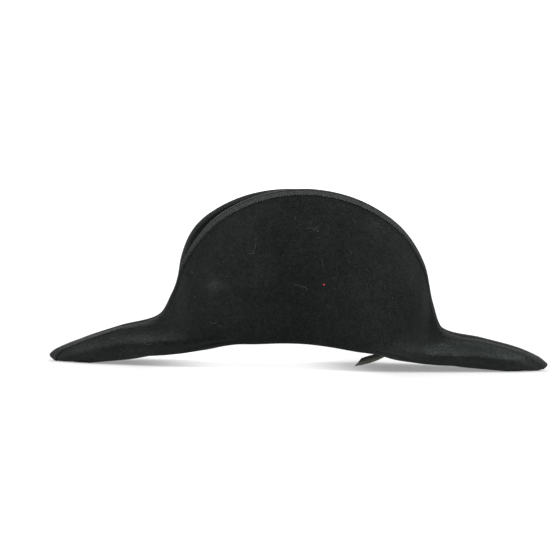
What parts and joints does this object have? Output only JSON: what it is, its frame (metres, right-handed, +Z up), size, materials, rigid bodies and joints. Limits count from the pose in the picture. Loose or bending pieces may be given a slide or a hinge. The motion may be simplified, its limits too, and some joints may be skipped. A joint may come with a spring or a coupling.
{
  "type": "bicorne hat",
  "caption": "Black felt bicorne hat with a round crown, brim turned up front and back, two long drooping side wings and a ribbon-bound edge.",
  "frame": {"origin": "on the floor that the wing tips rest on, under the middle of the head opening", "axes": "+X along the hat from wing tip to wing tip, -Y out of the front flap, +Z up through the crown"},
  "size_m": [0.4538, 0.191, 0.1604],
  "materials": {
    "felt": "matte black wool felt, short nap",
    "grosgrain": "black ribbed grosgrain ribbon, faint sheen",
    "head_ribbon": "black ribbed grosgrain ribbon",
    "tail_ribbon": "worn olive grey ribbon, faint sheen"
  },
  "bodies": {
    "root": {"felt_body": "felt", "edge_binding": "grosgrain", "head_ribbon": "head_ribbon", "ribbon_tail": "tail_ribbon"}
  },
  "joints": []
}
